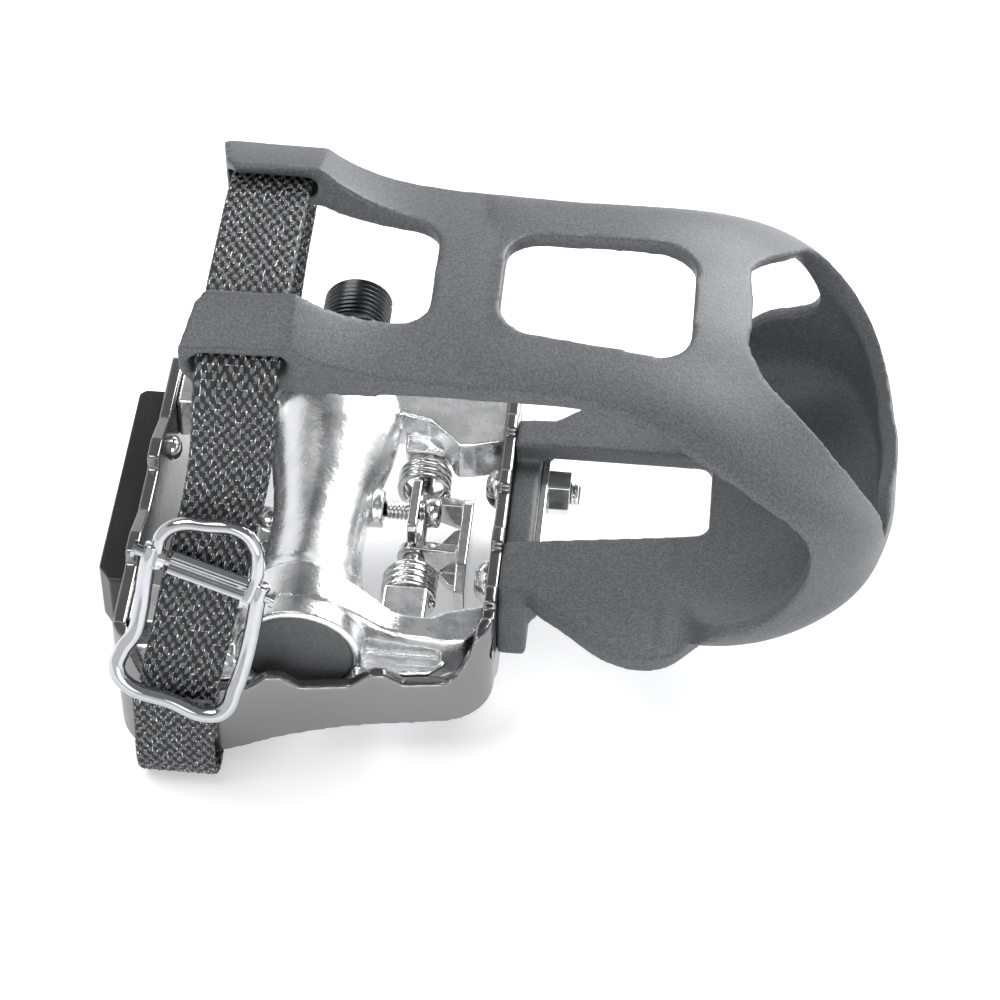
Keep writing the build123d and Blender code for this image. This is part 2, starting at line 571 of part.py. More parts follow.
    # Top window
    with BuildSketch(Plane.XY.offset(50)) as top_window:
        with BuildLine():
            Polyline((35.4, sole_y + 12.2), (70.2, sole_y + 15.2), (70.2, sole_y - 15.2), (35.4, sole_y - 12.2), close=True)
        make_face()
        fillet(top_window.vertices(), 6.5)
    extrude(amount=30, mode=Mode.SUBTRACT)
    # Toe window over the front of the box, running out to the inboard side
    for way in (30, -18):
        with BuildSketch(Plane(origin=(100, sole_y, 50), x_dir=(0, -1, 0), z_dir=(0.64, 0, 0.77))):
            with BuildLine():
                Line((-12.7, -22.0), (6.7, -22.0))
                Spline((6.7, -22.0), (10.5, -20.0), (13.4, -17.2), (15.6, -13.0), (17.4, -7.0), (18.4, 0), (18.2, 8.0),
                       (17.4, 16.0), (16.4, 24.0))
                Spline((16.4, 24.0), (9.0, 21.8), (0, 21.4), (-17.0, 21.2), (-26.0, 18.4), (-31.0, 13.5), (-34.3, 7.0),
                       (-35.2, 0), (-33.0, -5.4), (-27.0, -10.5), (-20.0, -17.0), (-12.7, -22.0))
            make_face()
        extrude(amount=way, mode=Mode.SUBTRACT)
    # Strap tunnels, sloping down to the outside like the pads
    for s in (1, -1):
        with BuildSketch(Plane(origin=(-9.4, sole_y + s * 22.5, 69.0), x_dir=(1, 0, 0), z_dir=(0, s * 0.954, -0.298))):
            RectangleRounded(17.4, 4.6, 2.2)
        extrude(amount=14, both=True, mode=Mode.SUBTRACT)
toe_clip.part.label = "toe_clip"
export_step(toe_clip.part, "parts/toe_clip.step")

# Toe clip bolts with low domed heads, their nuts and the plate under the nuts
head_r = 4.2
head_high = 3.2
with BuildPart() as clip_bolts:
    for s in (1, -1):
        y = sole_y + s * bolt_pitch / 2
        with BuildSketch(Plane(origin=(0, y, bolt_z), x_dir=(1, 0, 0), z_dir=(0, 0, 1))):
            with BuildLine():
                Line((bolt_tip_x, 0), (bolt_tip_x, bolt_r - 0.6))
                Line((bolt_tip_x, bolt_r - 0.6), (bolt_tip_x - 0.6, bolt_r))
                Line((bolt_tip_x - 0.6, bolt_r), (front_in, bolt_r))
                Line((front_in, bolt_r), (front_in, head_r))
                Line((front_in, head_r), (front_in - 1.0, head_r))
                ThreePointArc((front_in - 1.0, head_r), (front_in - head_high + 0.7, head_r * 0.68),
                              (front_in - head_high, 1.2))
                Polyline((front_in - head_high, 1.2), (front_in - head_high, 0), (bolt_tip_x, 0))
            make_face()
        revolve(axis=Axis((0, y, bolt_z), (1, 0, 0)))
        with BuildSketch(Plane(origin=(front_in - head_high, y, bolt_z), x_dir=(0, 1, 0), z_dir=(1, 0, 0))):
            RegularPolygon(1.5, 6, major_radius=False)
        extrude(amount=1.6, mode=Mode.SUBTRACT)
clip_bolts.part.label = "clip_bolts"
export_step(clip_bolts.part, "parts/clip_bolts.step")

backing_x = cage_front_x + flange_thick
with BuildPart() as clip_backing_plate:
    with BuildSketch(Plane.YZ.offset(backing_x)):
        with Locations((sole_y, bolt_z)):
            RectangleRounded(2 * (flange_half - rib_in) - 2 * plate_gap, 8.2, 3.0)
        with Locations((sole_y + bolt_pitch / 2, bolt_z), (sole_y - bolt_pitch / 2, bolt_z)):
            Circle(bolt_r + 0.1, mode=Mode.SUBTRACT)
    extrude(amount=backing_thick)
clip_backing_plate.part.label = "clip_backing_plate"
export_step(clip_backing_plate.part, "parts/clip_backing_plate.step")

nut_flats = 8.0
nut_high = 4.4
with BuildPart() as clip_nuts:
    for s in (1, -1):
        y = sole_y + s * bolt_pitch / 2
        with BuildSketch(Plane.YZ.offset(backing_x + backing_thick)):
            with Locations((y, bolt_z)):
                RegularPolygon(nut_flats / 2, 6, major_radius=False)
                Circle(bolt_r + fit, mode=Mode.SUBTRACT)
        extrude(amount=nut_high)
clip_nuts.part.label = "clip_nuts"
export_step(clip_nuts.part, "parts/clip_nuts.step")

# Reflector: a housing behind the rear plate, with a lens let into its back
lens_deep = 1.6
rim = 1.3
housing_back = cage_rear_x - 5.4
housing_low = -10.0
housing_high = 4.0
housing_near = -21.0
housing_far = -72.3
with BuildPart() as reflector_housing:
    with BuildSketch(Plane.XY.offset(housing_low)):
        with BuildLine():
            Polyline((cage_rear_x, housing_near), (cage_rear_x, housing_far), (housing_back + 2.6, housing_far),
                     (housing_back, housing_far + 3.4), (housing_back, housing_near - 1.2), (housing_back + 1.2, housing_near),
                     close=True)
        make_face()
    extrude(amount=housing_high - housing_low)
    with BuildSketch(Plane.YZ.offset(housing_back)):
        with Locations(((housing_near + housing_far + 2.2) / 2, (housing_low + housing_high) / 2)):
            Rectangle(housing_near - housing_far - 3.4 - 2 * rim - 1.2, housing_high - housing_low - 2 * rim)
    extrude(amount=lens_deep + 0.4, mode=Mode.SUBTRACT)
    with Locations(*[Plane(origin=(cage_rear_x, reflector_y + s * reflector_pitch / 2, bolt_z), z_dir=(1, 0, 0))
                     for s in (1, -1)]):
        Hole(1.5, depth=3.0)
reflector_housing.part.label = "reflector_housing"
export_step(reflector_housing.part, "parts/reflector_housing.step")

with BuildPart() as reflector_lens:
    with BuildSketch(Plane.YZ.offset(housing_back + 0.2)):
        with Locations(((housing_near + housing_far + 2.2) / 2, (housing_low + housing_high) / 2)):
            Rectangle(housing_near - housing_far - 3.4 - 2 * rim - 1.2 - 2 * fit, housing_high - housing_low - 2 * rim - 2 * fit)
    extrude(amount=lens_deep)
reflector_lens.part.label = "reflector_lens"
export_step(reflector_lens.part, "parts/reflector_lens.step")

with BuildPart() as reflector_screws:
    for s in (1, -1):
        y = reflector_y + s * reflector_pitch / 2
        with BuildSketch(Plane(origin=(0, y, bolt_z), x_dir=(1, 0, 0), z_dir=(0, 0, 1))):
            with BuildLine():
                Line((cage_rear_x - 2.8, 0), (cage_rear_x - 2.8, 1.5 - fit))
                Line((cage_rear_x - 2.8, 1.5 - fit), (rear_in, 1.5 - fit))
                Line((rear_in, 1.5 - fit), (rear_in, 2.7))
                ThreePointArc((rear_in, 2.7), (rear_in + 1.2, 1.9), (rear_in + 1.7, 0.6))
                Polyline((rear_in + 1.7, 0.6), (rear_in + 1.7, 0), (cage_rear_x - 2.8, 0))
            make_face()
        revolve(axis=Axis((0, y, bolt_z), (1, 0, 0)))
reflector_screws.part.label = "reflector_screws"
export_step(reflector_screws.part, "parts/reflector_screws.step")

# Binding pin along the pedal, with a groove for a clip at each end
with BuildPart() as binding_pin:
    with Locations(Plane(origin=(pin_x, pin_far, pin_z), z_dir=(0, 1, 0))):
        Cylinder(pin_r, pin_near - pin_far, align=(Align.CENTER, Align.CENTER, Align.MIN))
binding_pin.part.label = "binding_pin"
export_step(binding_pin.part, "parts/binding_pin.step")

# Binding springs round the pin, each one a close row of coils
wire_r = 0.8
coil_r = 4.9
with BuildPart() as binding_springs:
    for y0, coils in ((-27.1, 4), (-54.5, 5)):
        with BuildSketch(Plane(origin=(pin_x, y0, pin_z), x_dir=(1, 0, 0), z_dir=(0, 0, 1))):
            with BuildLine():
                crests = [(coil_r, 0), (coil_r + wire_r, -0.4)]
                for k in range(coils):
                    crests += [(coil_r + wire_r, -0.4 - 2 * wire_r * k), (coil_r + wire_r, -1.2 - 2 * wire_r * k),
                               (coil_r + 0.1, -2 * wire_r * (k + 1))]
                foot = -2 * wire_r * coils
                Polyline(*crests[:1], *crests[2:], (coil_r - wire_r, foot), (coil_r - wire_r, 0), close=True)
            make_face()
        revolve(axis=Axis((pin_x, y0, pin_z), (0, 1, 0)))
binding_springs.part.label = "binding_springs"
export_step(binding_springs.part, "parts/binding_springs.step")

# Sprung claw: two arms on the pin, a front plate and the claw's lip below
claw_front = 29.4
claw_thick = 2.2
claw_near = -33.4
claw_far = -59.6
claw_low = -13.4
claw_arm = 2.2
claw_arm_y = (-36.2, -48.6)
with BuildPart() as binding_claw:
    for y0 in claw_arm_y:
        with BuildSketch(Plane.XZ.offset(-y0)):
            with Locations((pin_x, pin_z)):
                Circle(3.4)
            with BuildLine():
                Polyline((pin_x, pin_z + 3.4), (claw_front, pin_z + 2.8), (claw_front, claw_low), (pin_x + 4.0, claw_low + 3.0),
                         (pin_x, pin_z - 3.4), close=True)
            make_face()
            with Locations((pin_x, pin_z)):
                Circle(pin_r + running, mode=Mode.SUBTRACT)
        extrude(amount=claw_arm)
    with BuildSketch(Plane.YZ.offset(claw_front - claw_thick)):
        with BuildLine():
            Polyline((claw_near, pin_z + 1.0), (claw_near - 5.0, pin_z + 4.0), (claw_far + 5.0, pin_z + 4.0),
                     (claw_far, pin_z + 1.0), (claw_far, claw_low + 1.5), (claw_far + 4.0, claw_low),
                     (claw_near - 4.0, claw_low), (claw_near, claw_low + 1.5), close=True)
        make_face()
    extrude(amount=claw_thick)
    with BuildSketch(Plane.XY.offset(claw_low)):
        with BuildLine():
            Polyline((claw_front, claw_near - 4.0), (claw_front, claw_far + 4.0), (claw_front - 4.0, claw_far + 6.0),
                     (claw_front - 6.6, sole_y - 3.5), (claw_front - 6.6, sole_y + 3.5), (claw_front - 4.0, claw_near - 6.0),
                     close=True)
        make_face()
    extrude(amount=2.0)
binding_claw.part.label = "binding_claw"
export_step(binding_claw.part, "parts/binding_claw.step")

# Tension plate over the pin, on the adjusting screw that sits in the barrel's boss
with BuildPart() as tension_plate:
    with BuildSketch(Plane.YZ.offset(plate_x)):
        with Locations((sole_y + 3.0, screw_axis_z)):
            RectangleRounded(13.6, 5.8, 1.4)
        with Locations((adjust_y, screw_axis_z)):
            Circle(adjust_r + fit, mode=Mode.SUBTRACT)
    extrude(amount=1.8)
tension_plate.part.label = "tension_plate"
export_step(tension_plate.part, "parts/tension_plate.step")

with BuildPart() as tension_screw:
    with BuildSketch(Plane(origin=(0, adjust_y, screw_axis_z), x_dir=(1, 0, 0), z_dir=(0, 0, 1))):
        with BuildLine():
            Polyline((boss_x - 3.0, 0), (boss_x - 3.0, adjust_r), (adjust_head_x, adjust_r), (adjust_head_x, 3.0),
                     (adjust_head_x + 2.4, 3.0), (adjust_head_x + 2.8, 2.6), (adjust_head_x + 2.8, 0), close=True)
        make_face()
    revolve(axis=Axis((0, adjust_y, screw_axis_z), (1, 0, 0)))
    with BuildSketch(Plane(origin=(adjust_head_x + 2.8, adjust_y, screw_axis_z), x_dir=(0, 1, 0), z_dir=(-1, 0, 0))):
        RegularPolygon(1.5, 6, major_radius=False)
    extrude(amount=2.0, mode=Mode.SUBTRACT)
tension_screw.part.label = "tension_screw"
export_step(tension_screw.part, "parts/tension_screw.step")

# Fixed claw under the barrel's rear lug, held by two screws
lip_low = -18.0
with BuildPart() as fixed_claw:
    with BuildSketch(Plane.XZ.offset(-lug_near + 0.8)):
        with BuildLine():
            Polyline((lug_x0, lug_low), (lug_x1, lug_low), (lug_x1, lug_low - claw_plate), (lug_x0 + claw_plate, lug_low - claw_plate),
                     (lug_x0 + claw_plate, lip_low + claw_plate), (lug_x0 + 6.0, lip_low + claw_plate - 0.4),
                     (lug_x0 + 6.0, lip_low), (lug_x0, lip_low), close=True)
        make_face()
    extrude(amount=lug_near - lug_far - 1.6)
    with Locations(*[Plane(origin=(lug_screw_x, y, lug_low), z_dir=(0, 0, 1)) for y in lug_screw_y]):
        Hole(1.6, depth=claw_plate)
fixed_claw.part.label = "fixed_claw"
export_step(fixed_claw.part, "parts/fixed_claw.step")

with BuildPart() as fixed_claw_screws:
    for y in lug_screw_y:
        with BuildSketch(Plane(origin=(lug_screw_x, y, 0), x_dir=(1, 0, 0), z_dir=(0, -1, 0))):
            with BuildLine():
                Polyline((0, lug_low - claw_plate), (1.6 - fit, lug_low - claw_plate), (1.6 - fit, lug_high), (2.6, lug_high))
                ThreePointArc((2.6, lug_high), (2.0, lug_high + 1.3), (0.6, lug_high + 1.9))
                Polyline((0.6, lug_high + 1.9), (0, lug_high + 1.9), (0, lug_low - claw_plate))
            make_face()
        revolve(axis=Axis((lug_screw_x, y, 0), (0, 0, 1)))
fixed_claw_screws.part.label = "fixed_claw_screws"
export_step(fixed_claw_screws.part, "parts/fixed_claw_screws.step")

# Buckle: lies on the strap outside the wall, turned a little on it
buckle_plane = Plane(origin=(-17.6, -91.9, 21.0), x_dir=(cos(radians(17)), -sin(radians(17)) * 0.477, -sin(radians(17)) * 0.879),
                     z_dir=(0, -0.879, 0.477))
frame_half = 11.7
frame_side = 2.2
lever_gap = 0.4
lever_side = 1.0
frame_bar = 1.7
frame_low = -19.0
pivot_y = 8.0
pivot_z = 2.2
lever_half = frame_half - frame_side / 2 - lever_gap - lever_side / 2
roller_half = lever_half - lever_side / 2 - lever_gap
spring_wide = 1.4
lever_top = 19.6
lever_z = 3.4
with BuildPart() as buckle_frame:
    for s in (1, -1):
        with BuildSketch(Plane(origin=buckle_plane.from_local_coords((s * frame_half, 0, 0)), x_dir=buckle_plane.y_dir,
                               z_dir=buckle_plane.x_dir)) as side:
            with BuildLine():
                Polyline((frame_low - 1.2, -1.5), (frame_low - 1.2, 1.2), (frame_low + 4.0, 1.8), (pivot_y - 3.6, pivot_z + 2.0),
                         (pivot_y + 2.4, pivot_z + 2.4), (pivot_y + 3.2, pivot_z - 2.0), (pivot_y - 3.0, -1.6), close=True)
            make_face()
            fillet(side.vertices(), 1.0)
            with Locations((pivot_y, pivot_z)):
                Circle(1.0 + running, mode=Mode.SUBTRACT)
        extrude(amount=frame_side / 2, both=True)
    with Locations(Plane(origin=buckle_plane.from_local_coords((0, frame_low, 0)), z_dir=buckle_plane.x_dir)):
        Cylinder(frame_bar, 2 * frame_half)
buckle_frame.part.label = "buckle_frame"
export_step(buckle_frame.part, "parts/buckle_frame.step")

with BuildPart() as buckle_pin:
    with Locations(Plane(origin=buckle_plane.from_local_coords((0, pivot_y, pivot_z)), z_dir=buckle_plane.x_dir)):
        Cylinder(1.0, 2 * frame_half + frame_side + 1.2)
        with Locations((0, 0, frame_half + frame_side / 2 + 0.6), (0, 0, -frame_half - frame_side / 2 - 0.6)):
            Cylinder(1.6, 0.7)
buckle_pin.part.label = "buckle_pin"
export_step(buckle_pin.part, "parts/buckle_pin.step")

with BuildPart() as buckle_roller:
    with Locations(Plane(origin=buckle_plane.from_local_coords(((spring_wide + lever_gap) / 2, pivot_y, pivot_z)), z_dir=buckle_plane.x_dir)):
        Cylinder(2.2, 2 * roller_half - spring_wide - lever_gap)
        Cylinder(1.0 + running, 2 * roller_half, mode=Mode.SUBTRACT)
buckle_roller.part.label = "buckle_roller"
export_step(buckle_roller.part, "parts/buckle_roller.step")

with BuildPart() as buckle_lever:
    for s in (1, -1):
        with BuildSketch(Plane(origin=buckle_plane.from_local_coords((s * lever_half, 0, 0)), x_dir=buckle_plane.y_dir,
                               z_dir=buckle_plane.x_dir)) as leg:
            with BuildLine():
                Polyline((pivot_y - 2.2, pivot_z - 1.8), (pivot_y - 2.2, pivot_z + 1.8), (pivot_y + 2.0, pivot_z + 2.0),
                         (lever_top - 1.0, lever_z + 1.3), (lever_top - 1.0, lever_z - 1.3), (pivot_y + 2.0, pivot_z - 1.6),
                         close=True)
            make_face()
            fillet(leg.vertices(), 0.8)
            with Locations((pivot_y, pivot_z)):
                Circle(1.0 + running, mode=Mode.SUBTRACT)
        extrude(amount=lever_side / 2, both=True)
    with Locations(Plane(origin=buckle_plane.from_local_coords((0, lever_top - 1.6, lever_z)), z_dir=buckle_plane.x_dir)):
        Cylinder(1.5, 2 * lever_half + lever_side)
buckle_lever.part.label = "buckle_lever"
export_step(buckle_lever.part, "parts/buckle_lever.step")

with BuildPart() as buckle_spring:
    with BuildSketch(Plane(origin=buckle_plane.from_local_coords((-roller_half, pivot_y, pivot_z)), x_dir=buckle_plane.y_dir,
                           z_dir=buckle_plane.x_dir)):
        Circle(1.7)
        Circle(1.15, mode=Mode.SUBTRACT)
    extrude(amount=spring_wide)
buckle_spring.part.label = "buckle_spring"
export_step(buckle_spring.part, "parts/buckle_spring.step")

# Strap: one flat length of webbing, laid from the buckle's bottom bar round the pedal and back to the buckle
strap_path = [
    # middle of the strap in x, y, z
    (-21.4, -98.8, 2.4), (-21.6, -98.9, -6.0), (-21.9, -98.9, -13.5), (-22.0, -97.9, -19.4), (-22.0, -95.0, -22.9),
    (-22.0, -91.4, -23.3), (-22.0, -86.0, -21.6), (-22.0, -70.0, -15.2), (-22.0, -50.0, -12.2), (-22.0, -28.0, -11.0),
    (-22.0, -16.5, -9.8),
    (-21.0, -11.4, -4.0), (-18.0, -10.6, 10.0), (-14.0, -11.6, 35.0), (-10.6, -14.4, 56.0), (-9.6, -16.6, 65.0),
    (-9.4, -20.0, 68.0), (-9.4, -25.6, 70.0), (-9.4, -33.0, 71.6), (-9.4, -47.0, 72.0), (-9.4, -61.0, 71.6),
    (-9.4, -68.4, 70.0), (-9.4, -74.0, 68.0), (-9.5, -77.6, 64.6), (-10.0, -79.0, 57.0), (-11.2, -80.6, 46.0),
    (-13.2, -83.4, 36.0), (-15.4, -87.4, 27.3), (-18.0, -92.6, 15.0), (-20.2, -96.2, 5.0),
    (-21.2, -96.9, -3.0), (-21.6, -96.5, -11.5),
]
with BuildPart() as strap:
    with BuildLine(mode=Mode.PRIVATE) as lay:
        Spline(*strap_path)
    lay_wire = lay.wire()
    stations = 56
    for k in range(stations + 1):
        spot = lay_wire @ (k / stations)
        way = lay_wire % (k / stations)
        along = Vector(0, way.Y, way.Z).normalized()
        with BuildSketch(Plane(origin=spot, x_dir=(1, 0, 0), z_dir=along)):
            Rectangle(strap_width, strap_thick)
    loft(ruled=True)
strap.part.label = "strap"
export_step(strap.part, "parts/strap.step")
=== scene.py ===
import bpy, bmesh, json, math
import numpy as np
from mathutils import Matrix, Vector


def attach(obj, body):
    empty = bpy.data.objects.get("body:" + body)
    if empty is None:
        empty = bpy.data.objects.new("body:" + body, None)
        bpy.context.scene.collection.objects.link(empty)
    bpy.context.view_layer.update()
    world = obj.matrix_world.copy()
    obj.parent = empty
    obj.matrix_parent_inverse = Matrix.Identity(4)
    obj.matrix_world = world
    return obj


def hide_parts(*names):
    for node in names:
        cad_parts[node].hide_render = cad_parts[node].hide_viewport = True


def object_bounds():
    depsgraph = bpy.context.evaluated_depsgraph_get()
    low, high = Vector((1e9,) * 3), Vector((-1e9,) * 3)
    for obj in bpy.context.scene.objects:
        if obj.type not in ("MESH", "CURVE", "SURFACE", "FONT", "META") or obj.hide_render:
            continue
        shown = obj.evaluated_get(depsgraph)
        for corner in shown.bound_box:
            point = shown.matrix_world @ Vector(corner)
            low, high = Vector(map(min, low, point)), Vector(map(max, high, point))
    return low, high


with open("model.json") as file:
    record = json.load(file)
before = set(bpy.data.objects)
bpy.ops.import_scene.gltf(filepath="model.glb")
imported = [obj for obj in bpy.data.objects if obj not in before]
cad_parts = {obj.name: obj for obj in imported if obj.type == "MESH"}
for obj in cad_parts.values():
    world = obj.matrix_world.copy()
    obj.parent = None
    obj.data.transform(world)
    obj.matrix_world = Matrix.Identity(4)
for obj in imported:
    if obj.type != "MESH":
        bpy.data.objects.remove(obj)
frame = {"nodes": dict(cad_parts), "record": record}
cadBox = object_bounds()
nodes = frame["nodes"]
mm = 0.001
bpy.ops.object.select_all(action="DESELECT")


finishes = {
    "clip": {"base": (0.052, 0.055, 0.060), "fleck": (0.105, 0.110, 0.118), "rough": 0.47, "grain": 2300},
    "cast": {"light": (0.90, 0.90, 0.91), "dull": (0.78, 0.785, 0.795), "rough": 0.24},
    "cage": {"base": (0.012, 0.012, 0.013), "rough": 0.18, "ior": 2.8},
    "steel": {"base": (0.78, 0.78, 0.78), "rough": 0.15},
    "darkSteel": {"base": (0.055, 0.057, 0.060), "rough": 0.28},
    "chrome": {"base": (0.50, 0.51, 0.53), "rough": 0.06},
    "blackPlastic": {"base": (0.012, 0.012, 0.013), "rough": 0.30},
    "cap": {"base": (0.060, 0.061, 0.064), "rough": 0.55},
    "lens": {"base": (0.80, 0.25, 0.02), "rough": 0.12},
    "rubber": {"base": (0.012, 0.012, 0.012), "rough": 0.7},
    # webbing: the groove colour is painted shade for the dips between the woven cells, and the glint colour is
    # painted highlight
    "webbing": {"base": (0.115, 0.118, 0.125), "groove": (0.002, 0.002, 0.002), "paintedGlint": (0.90, 0.90, 0.92),
                "rough": 0.5, "cellWide": 1.875, "cellLong": 2.7},
}


def newMaterial(name):
    material = bpy.data.materials.new(name)
    material.use_nodes = True
    tree = material.node_tree
    shader = tree.nodes["Principled BSDF"]
    coords = tree.nodes.new("ShaderNodeTexCoord")
    return material, tree, shader, coords


def noise(tree, coords, scale, detail, roughness):
    texture = tree.nodes.new("ShaderNodeTexNoise")
    texture.inputs["Scale"].default_value = scale
    texture.inputs["Detail"].default_value = detail
    texture.inputs["Roughness"].default_value = roughness
    tree.links.new(coords.outputs["Object"], texture.inputs["Vector"])
    return texture


def ramp(tree, source, low, high, colourLow, colourHigh):
    colours = tree.nodes.new("ShaderNodeValToRGB")
    colours.color_ramp.elements[0].position = low
    colours.color_ramp.elements[1].position = high
    colours.color_ramp.elements[0].color = (*colourLow, 1)
    colours.color_ramp.elements[1].color = (*colourHigh, 1)
    tree.links.new(source, colours.inputs["Fac"])
    return colours


def bump(tree, shader, height, strength, distance, under=None):
    node = tree.nodes.new("ShaderNodeBump")
    node.inputs["Strength"].default_value = strength
    node.inputs["Distance"].default_value = distance
    tree.links.new(height, node.inputs["Height"])
    if under is not None:
        tree.links.new(under.outputs["Normal"], node.inputs["Normal"])
    tree.links.new(node.outputs["Normal"], shader.inputs["Normal"])
    return node


def spread(tree, source, low, high):
    # turns a 0..1 pattern into a range of values, such as roughness
    node = tree.nodes.new("ShaderNodeMapRange")
    node.inputs["To Min"].default_value = low
    node.inputs["To Max"].default_value = high
    tree.links.new(source, node.inputs["Value"])
    return node


def clipPlastic():
    look = finishes["clip"]
    material, tree, shader, coords = newMaterial("clipPlastic")
    fleck = noise(tree, coords, look["grain"], 2.0, 0.6)
    cloud = noise(tree, coords, 45, 2.0, 0.5)
    colours = ramp(tree, fleck.outputs["Fac"], 0.38, 0.70, look["base"], look["fleck"])
    tree.links.new(colours.outputs["Color"], shader.inputs["Base Color"])
    rough = spread(tree, cloud.outputs["Fac"], look["rough"] - 0.06, look["rough"] + 0.08)
    tree.links.new(rough.outputs["Result"], shader.inputs["Roughness"])
    bump(tree, shader, fleck.outputs["Fac"], 0.35, 0.00012)
    return material


def castAluminium():
    look = finishes["cast"]
    material, tree, shader, coords = newMaterial("castAluminium")
    shader.inputs["Metallic"].default_value = 1.0
    cloud = noise(tree, coords, 160, 4.0, 0.6)
    skin = noise(tree, coords, 900, 4.0, 0.65)
    colours = ramp(tree, cloud.outputs["Fac"], 0.35, 0.65, look["dull"], look["light"])
    tree.links.new(colours.outputs["Color"], shader.inputs["Base Color"])
    rough = spread(tree, cloud.outputs["Fac"], look["rough"] - 0.06, look["rough"] + 0.12)
    tree.links.new(rough.outputs["Result"], shader.inputs["Roughness"])
    broad = bump(tree, shader, cloud.outputs["Fac"], 0.35, 0.0006)
    bump(tree, shader, skin.outputs["Fac"], 0.25, 0.00012, broad)
    return material


def glossPaint():
    look = finishes["cage"]
    material, tree, shader, coords = newMaterial("glossPaint")
    shader.inputs["Base Color"].default_value = (*look["base"], 1)
    shader.inputs["IOR"].default_value = look["ior"]
    peel = noise(tree, coords, 420, 2.0, 0.5)
    rough = spread(tree, peel.outputs["Fac"], look["rough"] - 0.05, look["rough"] + 0.10)
    tree.links.new(rough.outputs["Result"], shader.inputs["Roughness"])
    bump(tree, shader, peel.outputs["Fac"], 0.12, 0.0002)
    return material


def metal(name, look, scale=500, variation=0.08, dark=0.75):
    material, tree, shader, coords = newMaterial(name)
    shader.inputs["Metallic"].default_value = 1.0
    cloud = noise(tree, coords, scale, 3.0, 0.6)
    shade = tuple(c * dark for c in look["base"])
    colours = ramp(tree, cloud.outputs["Fac"], 0.3, 0.7, shade, look["base"])
    tree.links.new(colours.outputs["Color"], shader.inputs["Base Color"])
    rough = spread(tree, cloud.outputs["Fac"], max(0.02, look["rough"] - variation), look["rough"] + variation)
    tree.links.new(rough.outputs["Result"], shader.inputs["Roughness"])
    bump(tree, shader, cloud.outputs["Fac"], 0.08, 0.0001)
    return material


def plastic(name, look, grain=1500, strength=0.2):
    material, tree, shader, coords = newMaterial(name)
    cloud = noise(tree, coords, grain, 3.0, 0.6)
    brighter = tuple(c * 1.6 for c in look["base"])
    colours = ramp(tree, cloud.outputs["Fac"], 0.35, 0.7, look["base"], brighter)
    tree.links.new(colours.outputs["Color"], shader.inputs["Base Color"])
    rough = spread(tree, cloud.outputs["Fac"], look["rough"] - 0.05, look["rough"] + 0.07)
    tree.links.new(rough.outputs["Result"], shader.inputs["Roughness"])
    bump(tree, shader, cloud.outputs["Fac"], strength, 0.0001)
    return material


def mathNode(tree, operation, first, second=None):
    node = tree.nodes.new("ShaderNodeMath")
    node.operation = operation
    for socket, value in zip(node.inputs, (first, second)):
        if isinstance(value, (int, float)):
            socket.default_value = value
        elif value is not None:
            tree.links.new(value, socket)
    return node.outputs[0]


def nylonWebbing():
    # cells in staggered rows, with painted shade darkening the dips between them and painted highlights (glints)
    # where the cells meet
    look = finishes["webbing"]
    material, tree, shader, coords = newMaterial("nylonWebbing")
    place = tree.nodes.new("ShaderNodeSeparateXYZ")
    tree.links.new(coords.outputs["UV"], place.inputs["Vector"])
    waves = [mathNode(tree, "COSINE", mathNode(tree, "MULTIPLY", place.outputs[axis], 2 * math.pi / look[size]))
             for axis, size in (("X", "cellWide"), ("Y", "cellLong"))]
    cell = mathNode(tree, "MULTIPLY", waves[0], waves[1])
    turned = tree.nodes.new("ShaderNodeMapping")
    turned.inputs["Rotation"].default_value = (0, 0, math.radians(36))
    turned.inputs["Scale"].default_value = (3.4, 0.8, 1)
    tree.links.new(coords.outputs["UV"], turned.inputs["Vector"])
    yarn = tree.nodes.new("ShaderNodeTexNoise")
    yarn.inputs["Scale"].default_value = 1.0
    yarn.inputs["Detail"].default_value = 3.0
    tree.links.new(turned.outputs["Vector"], yarn.inputs["Vector"])
    # painted shade: the ramp takes the dips between the cells down to the near-black groove colour; the yarn noise
    # added to it varies the tone at random
    cells = ramp(tree, mathNode(tree, "ADD", cell, mathNode(tree, "MULTIPLY", yarn.outputs["Fac"], 0.5)), 0.30, 0.95,
                 look["groove"], look["base"])
    # painted highlight: a near-white glint colour added to the base colour where the cells meet, thinned out by the
    # yarn noise
    between = mathNode(tree, "SUBTRACT", 1.0, mathNode(tree, "ABSOLUTE", cell))
    paintedGlintMask = mathNode(tree, "MULTIPLY", between, yarn.outputs["Fac"])
    paintedGlints = ramp(tree, paintedGlintMask, 0.515, 0.60, (0, 0, 0), look["paintedGlint"])
    mix = tree.nodes.new("ShaderNodeMix")
    mix.data_type = "RGBA"
    mix.blend_type = "ADD"
    mix.inputs["Factor"].default_value = 1.0
    tree.links.new(cells.outputs["Color"], mix.inputs["A"])
    tree.links.new(paintedGlints.outputs["Color"], mix.inputs["B"])
    tree.links.new(mix.outputs["Result"], shader.inputs["Base Color"])
    rough = spread(tree, yarn.outputs["Fac"], look["rough"] + 0.2, look["rough"] - 0.1)
    tree.links.new(rough.outputs["Result"], shader.inputs["Roughness"])
    bump(tree, shader, yarn.outputs["Fac"], 0.6, 0.0002)
    return material


